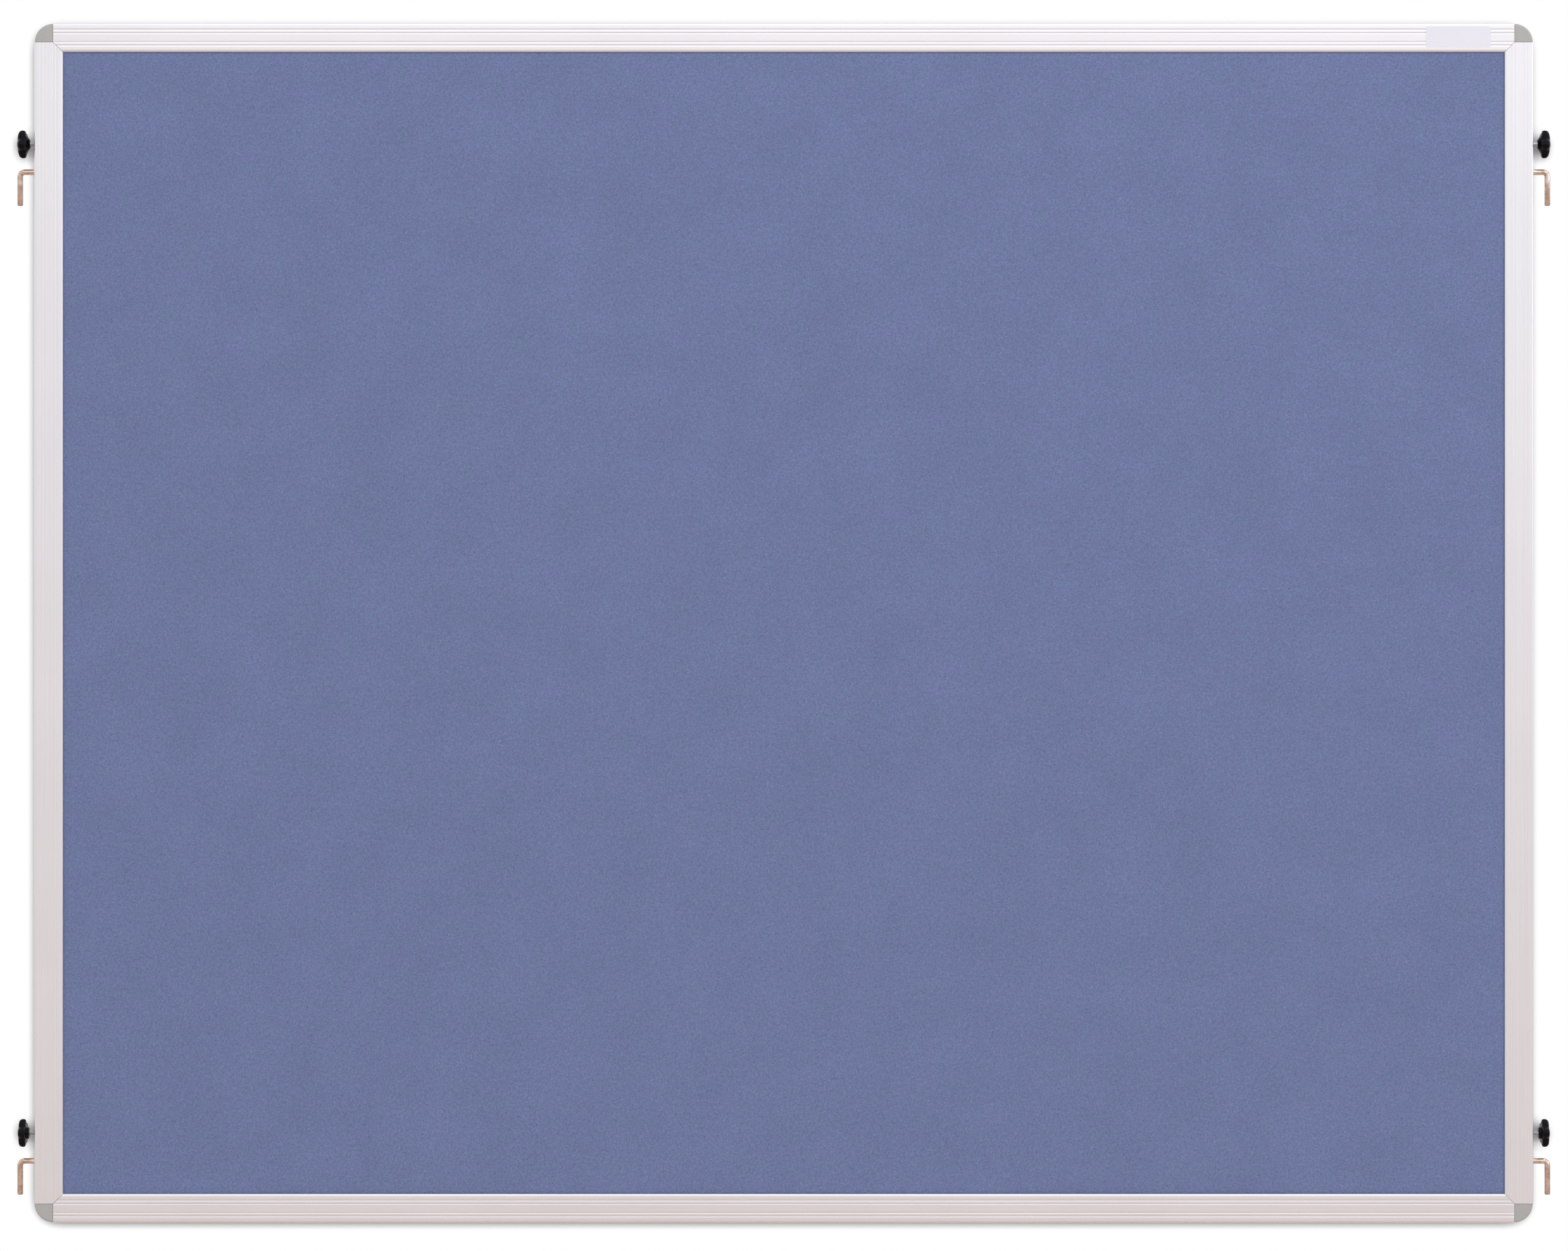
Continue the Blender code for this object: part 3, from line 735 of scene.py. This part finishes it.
GRIP_FORMS = {
    "upper": {
        "thread": 6 * MM, "pitch": 1.0 * MM, "standoff": 5.1 * MM, "turn": radians(9),
        "hub": ((0.0, 3.3), (0.0, 3.8), (0.25, 4.3), (2.2, 6.8), (3.3, 9.1)),
        "star": ((4.0, 0.92), (5.0, 1.0), (6.9, 1.01), (8.7, 1.0), (10.4, 0.92), (11.7, 0.74), (12.5, 0.48)),
        "crown": ((12.75, 0.20), (12.75, 0.17), (12.6, 0.16), (12.6, 0.03)),
    },
    "lower": {
        "thread": 4 * MM, "pitch": 0.7 * MM, "standoff": 6.2 * MM, "turn": radians(-6),
        "hub": ((0.0, 3.3), (0.0, 4.6), (0.2, 5.3), (0.9, 5.95), (2.6, 6.1), (2.9, 6.3)),
        "star": ((3.0, 0.80), (3.2, 0.93), (4.1, 1.0), (5.7, 1.01), (7.3, 1.0), (9.0, 0.94), (9.9, 0.83)),
        "crown": ((10.25, 0.62), (10.25, 0.50), (9.95, 0.47), (9.95, 0.03)),
    },
}

# %% One model for each level


def grip_model(level):
    """A star grip about +Z, with its hub face on z = 0 and one lobe towards -Y."""
    form = GRIP_FORMS[level]
    start, end, cavity_radius = CAVITY
    bore = form["thread"] / 2 + CLEARANCE
    rings = [(end, 0.2 * MM), (end, cavity_radius), (start, cavity_radius), (start, bore), (0, bore)]
    rings += [(height * MM, radius * MM) for height, radius in form["hub"][1:]]
    rings += [(height * MM, star(share)) for height, share in (*form["star"], *form["crown"])]
    model = stack_rings("star_grip_model_" + level, rings, GRIP_SIDES)
    bpy.ops.object.mode_set(mode="EDIT")
    mesh = bmesh.from_edit_mesh(model.data)
    crease = mesh.edges.layers.float.new("crease_edge")
    for edge in mesh.edges:
        reach = max(vert.co.xy.length for vert in edge.verts)
        lowest, highest = sorted(vert.co.z for vert in edge.verts)
        in_cavity = reach < cavity_radius + 0.05 * MM and 0.1 * MM < lowest and highest < end + 0.05 * MM
        if in_cavity or reach < bore + 0.02 * MM and highest < end + 0.05 * MM:
            edge[crease] = 1.0
    bmesh.update_edit_mesh(model.data)
    bpy.ops.object.mode_set(mode="OBJECT")
    rounding = model.modifiers.new("rounding", "SUBSURF")
    rounding.levels = rounding.render_levels = 2
    apply_modifiers(model)
    smooth(model, 50)
    finish_with(model, grip_plastic)
    return model


grip_models = {level: grip_model(level) for level in GRIP_FORMS}

# %% [markdown]
# ## Threaded studs
#
# The upper studs are M6, six millimetres across and one turn for each millimetre, and the lower ones
# are thinner, M4. The thread is one closed skin. Each ring's radius follows a tooth whose phase runs
# on with the angle, which is what makes it a helix. A collar at the end sits in the grip's cavity.

# %% A stud for each level
STUD_TIP = 16 * MM
STUD_CHAMFER = 0.9 * MM
THREAD_DEPTH = 0.56  # of the pitch
THREAD_FLANK = 0.34  # of the pitch
THREAD_ROOT = 0.18  # the flank's part that the flat root takes
STEPS_PER_PITCH = 8
STUD_SIDES = 40


def thread_ring(height, crest, pitch):
    """The thread's radius at a height, as a rule over the angle."""
    def radius(angle):
        phase = (height / pitch + angle / tau) % 1.0
        rise = max(0.0, min(1.0, (0.5 - abs(phase - 0.5)) / THREAD_FLANK - THREAD_ROOT))
        tooth = crest - THREAD_DEPTH * pitch * (1 - rise)
        cone = crest - STUD_CHAMFER + (height + STUD_TIP)
        return min(tooth, cone)
    return radius


def stud_model(level):
    """A threaded stud about +Z, with its collar, for one level's grip."""
    pitch = GRIP_FORMS[level]["pitch"]
    crest = GRIP_FORMS[level]["thread"] / 2 - 0.02 * MM
    root = crest - THREAD_DEPTH * pitch
    start, end, cavity_radius = CAVITY
    steps = round((STUD_TIP + start) / pitch * STEPS_PER_PITCH)
    rings = [(-STUD_TIP, 0.3 * MM)]
    for step in range(steps + 1):
        height = step * pitch / STEPS_PER_PITCH - STUD_TIP
        rings.append((height, thread_ring(height, crest, pitch)))
    collar_radius = cavity_radius - CLEARANCE
    rings += [
        (start + CLEARANCE, root), (start + CLEARANCE, collar_radius),
        (end - CLEARANCE, collar_radius), (end - CLEARANCE, 0.3 * MM),
    ]
    model = stack_rings("stud_model_" + level, rings, STUD_SIDES)
    smooth(model, 30)
    finish_with(model, bright_zinc)
    return model


stud_models = {level: stud_model(level) for level in GRIP_FORMS}

# %% [markdown]
# ## Rivet nuts
#
# The thin side wall can't hold a thread, so each stud and each hook screws into a blind rivet nut. Its
# head lies flush in the wall. The profile runs round the bore, the head and the bulge behind the wall,
# so the last ring is joined to the first.

# %% The nut's rings
NUT_SIDES = 48
NUT_RINGS = [
    (14.0, 4.5), (4.55, 4.5), (3.95, 5.7), (1.75, 5.7), (1.75, 4.5),
    (0.95, 4.5), (0.24, 5.12), (0.13, 5.14), (0.10, 5.05),
]
nut_models = {}
for thread in ("M4", "M6"):
    bore = int(thread[1]) / 2 + CLEARANCE / MM
    nut_rings = [(0.30, bore), (14.0, bore), *NUT_RINGS, (0.10, bore + 0.3)]
    model = stack_rings(
        "rivet_nut_model_" + thread, [(h * MM, r * MM) for h, r in nut_rings], NUT_SIDES, closed=True
    )
    smooth(model, 30)
    finish_with(model, bright_zinc)
    nut_models[thread] = model

# %% [markdown]
# ## Bent hooks
#
# A hook is a drawn rod of 5.4 mm, threaded at one end and bent square. It starts as stacked rings
# along the straight part. The end ring is then spun a quarter turn about the bend's centre, extruded
# to the tip and finished with a small rounded chamfer.

# %% The hook, for the right side
ROD_RADIUS = 2.7 * MM
HOOK_THREAD_RADIUS = 2.95 * MM
HOOK_REACH = 15.4 * MM
HOOK_DROP = 33.7 * MM
HOOK_BEND = 4.4 * MM
HOOK_TIP = ((0.8 * MM, 1.0), (0.3 * MM, 0.88), (0.0, 0.70))  # above the tip, and of the radius
HOOK_SIDES = 40
BEND_STEPS = 18
HOOK_RINGS = [(-13.0, 2.15), (-12.2, 2.95), (-0.30, 2.95), (-0.05, 2.7), (11.0, 2.7)]


def hook_model():
    """A hook whose rod leaves the frame along +X from the origin and hangs down."""
    model = stack_rings("hook_model", [(h * MM, r * MM) for h, r in HOOK_RINGS], HOOK_SIDES)
    model.rotation_euler = (0, pi / 2, 0)
    settle(model)
    bpy.ops.object.mode_set(mode="EDIT")
    bpy.ops.mesh.select_mode(type="FACE")
    bpy.ops.mesh.select_all(action="DESELECT")
    mesh = bmesh.from_edit_mesh(model.data)
    end = max(mesh.faces, key=lambda face: face.calc_center_median().x)
    end.select_set(True)
    bmesh.update_edit_mesh(model.data)
    bpy.ops.mesh.delete(type="ONLY_FACE")
    bpy.ops.mesh.select_mode(type="EDGE")
    bpy.ops.mesh.select_non_manifold()
    centre = (HOOK_REACH - HOOK_BEND, 0, -HOOK_BEND)
    bpy.ops.mesh.spin(steps=BEND_STEPS, angle=pi / 2, center=centre, axis=(0, -1, 0))
    for above, share in HOOK_TIP:
        bpy.ops.mesh.extrude_region_move()
        mesh = bmesh.from_edit_mesh(model.data)
        ring = [vert for vert in mesh.verts if vert.select]
        middle = sum((vert.co for vert in ring), Vector()) / len(ring)
        size = max((vert.co - middle).length for vert in ring)
        for vert in ring:
            offset = (vert.co - middle) * (ROD_RADIUS * share / size)
            vert.co = (middle.x + offset.x, offset.y, above - HOOK_DROP)
        bmesh.update_edit_mesh(model.data)
    bpy.ops.mesh.edge_face_add()
    bpy.ops.mesh.select_all(action="SELECT")
    bpy.ops.mesh.remove_doubles(threshold=0.001 * MM)
    bpy.ops.mesh.normals_make_consistent(inside=False)
    bpy.ops.mesh.select_mode(type="VERT")
    bpy.ops.object.mode_set(mode="OBJECT")
    reach = max(vert.co.x for vert in model.data.vertices)
    drop = -min(vert.co.z for vert in model.data.vertices)
    print("hook reaches", round(reach / MM, 1), "mm and hangs", round(drop / MM, 1))
    smooth(model, 40)
    finish_with(model, warm_zinc)
    return model


hook = hook_model()

# %% [markdown]
# ## Fittings on the sides
#
# Each side has two hooks, and a star grip above each. The plain solids say where: a stud's box gives
# its axis, and each grip's hub stands a given distance off the side. The stud rides with its grip,
# because it turns with it.

# %% Put the fittings in place
for level in ("lower", "upper"):
    for side_name, side in (("left", -1), ("right", 1)):
        spot = f"{level}_{side_name}"
        outwards = (0, side * pi / 2, 0)
        stud_low, stud_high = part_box("knob_stud_" + spot)
        axis_z = (stud_low.z + stud_high.z) / 2
        hub_x = side * (half_width + GRIP_FORMS[level]["standoff"])
        turn = (0, 0, side * GRIP_FORMS[level]["turn"])
        turned = placed_copy(grip_models[level], "turned_grip", (0, 0, 0), turn)
        grip = placed_copy(turned, "star_grip_" + spot, (hub_x, 0, axis_z), outwards)
        bpy.data.objects.remove(turned)
        hand_over(grip, "grip_" + spot, "knob_plastic", "star_knob_" + spot)
        stud = placed_copy(stud_models[level], "threaded_stud_" + spot, (hub_x, 0, axis_z), outwards)
        hand_over(stud, "grip_" + spot, "zinc", "knob_stud_" + spot)
        rod_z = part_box("hook_" + spot)[1].z - HOOK_THREAD_RADIUS
        turn = (0, 0, 0 if side > 0 else pi)
        rod = placed_copy(hook, "bent_hook_" + spot, (side * half_width, 0, rod_z), turn)
        hand_over(rod, "board", "zinc", "hook_" + spot)
        knob_thread = "M6" if level == "upper" else "M4"
        for kind, thread, nut_z in (("hook", "M6", rod_z), ("knob", knob_thread, axis_z)):
            nut = placed_copy(
                nut_models[thread], f"rivet_nut_{kind}_{spot}",
                (side * half_width, 0, nut_z), (0, -side * pi / 2, 0),
            )
            hand_over(nut, "board", "zinc", f"{kind}_insert_{spot}")
for model in (*grip_models.values(), *stud_models.values(), *nut_models.values(), hook):
    bpy.data.objects.remove(model)

# %% [markdown]
# ## Corner screws
#
# Two pan-head screws on the back hold each corner's legs. The head is stacked from rings, and a cross
# recess is cut into it with a tapered cross, as a Boolean.

# %% The screw and its cross recess
SCREW_SIDES = 40
SCREW_RINGS = [
    (-9.0, 0.25), (-5.9, 1.7), (-0.1, 1.7), (0.0, 3.05), (0.12, 3.1), (0.80, 3.1), (1.25, 2.98),
    (1.62, 2.66), (1.88, 2.18), (2.04, 1.6), (2.1, 0.9), (2.1, 0.2),
]
RECESS_LENGTH = 3.1 * MM
RECESS_WIDTH = 0.75 * MM
RECESS_DEPTH = 1.35 * MM
RECESS_TAPER = 0.45
HEAD_HEIGHT = 2.1 * MM

screw_model = stack_rings("screw_model", [(h * MM, r * MM) for h, r in SCREW_RINGS], SCREW_SIDES)
for turn in (0, pi / 2):
    bpy.ops.object.select_all(action="DESELECT")
    bpy.ops.mesh.primitive_cube_add(size=1)
    cutter = bpy.context.object
    cutter.scale = (RECESS_LENGTH, RECESS_WIDTH, 2 * RECESS_DEPTH)
    cutter.location = (0, 0, HEAD_HEIGHT)
    cutter.rotation_euler = (0, 0, turn)
    settle(cutter)
    for vert in cutter.data.vertices:
        if vert.co.z < HEAD_HEIGHT:
            vert.co.x *= RECESS_TAPER
            vert.co.y *= RECESS_TAPER
    cut = screw_model.modifiers.new("recess", "BOOLEAN")
    cut.object = cutter
    cut.operation = "DIFFERENCE"
    cut.solver = "EXACT"
    apply_modifiers(screw_model)
    bpy.data.objects.remove(cutter)
smooth(screw_model, 30)
finish_with(screw_model, bright_zinc)

# %% Put the screws in place
for index, place_name in enumerate(CORNERS):
    for order, bar_name in enumerate(("first", "second")):
        node = f"corner_screw_{place_name}_{bar_name}"
        low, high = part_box(node)
        middle = (low + high) / 2
        spin = radians(23 + 41 * index + 67 * order)  # no two recesses stop at the same angle
        turned = placed_copy(screw_model, "turned_screw", (0, 0, 0), (0, 0, spin))
        screw = placed_copy(
            turned, f"pan_screw_{place_name}_{bar_name}",
            (middle.x, high.y - HEAD_HEIGHT, middle.z), (-pi / 2, 0, 0),
        )
        bpy.data.objects.remove(turned)
        hand_over(screw, "board", "zinc", node)
bpy.data.objects.remove(screw_model)

# %% [markdown]
# ## A blank label
#
# A thin blank film is stuck on the top bar near the right end. A plane gets rounded corners from a
# vertex bevel and a little thickness from an extrusion.

# %% The label
LABEL_SPAN = (642.2 * MM, 707.1 * MM)
LABEL_HEIGHTS = (1175.7 * MM, 1196.6 * MM)
LABEL_THICKNESS = 0.12 * MM
LABEL_GAP = 0.02 * MM  # keeps the film's back off the bar's face
LABEL_CORNER = 2.0 * MM

bpy.ops.object.select_all(action="DESELECT")
bpy.ops.mesh.primitive_plane_add(size=1, rotation=(pi / 2, 0, 0))
label = bpy.context.object
label.name = label.data.name = "blank_label"
label.scale = (LABEL_SPAN[1] - LABEL_SPAN[0], LABEL_HEIGHTS[1] - LABEL_HEIGHTS[0], 1)
label.location = (sum(LABEL_SPAN) / 2, FRONT - LABEL_GAP - LABEL_THICKNESS, sum(LABEL_HEIGHTS) / 2)
settle(label)
bpy.ops.object.mode_set(mode="EDIT")
bpy.ops.mesh.select_all(action="SELECT")
bpy.ops.mesh.bevel(offset=LABEL_CORNER, segments=6, affect="VERTICES")
bpy.ops.mesh.select_all(action="SELECT")
bpy.ops.mesh.extrude_region_move(TRANSFORM_OT_translate={"value": (0, LABEL_THICKNESS, 0)})
bpy.ops.mesh.select_all(action="SELECT")
bpy.ops.mesh.normals_make_consistent(inside=False)
bpy.ops.object.mode_set(mode="OBJECT")
edge = label.modifiers.new("soft edge", "BEVEL")
edge.width = 0.03 * MM
edge.limit_method = "ANGLE"
apply_modifiers(label)
finish_with(label, label_film)
hand_over(label, "board", "cap_plastic")

# %% [markdown]
# ## The soft board
#
# The core stays as the plain solid has it, because only its finish could be better: pressed fibres,
# brown and matt.

# %% The core's finish
CORE_DARK = (0.44, 0.32, 0.20)
CORE_LIGHT = (0.62, 0.49, 0.34)

core_fibre, tree, shader = new_material("pressed fibre board", CORE_LIGHT, 0.95)
flakes = add_noise(tree, object_place(tree), 350.0, Detail=5.0, Roughness=0.7)
colour = add_ramp(tree, flakes, list(zip(MIDDLE, (CORE_DARK, CORE_LIGHT))))
tree.links.new(colour, shader.inputs["Base Color"])
add_relief(tree, shader, flakes, 0.4, 0.2 * MM)
finish_with(frame["nodes"]["core_board"], core_fibre)
print("core", core_fibre.name)
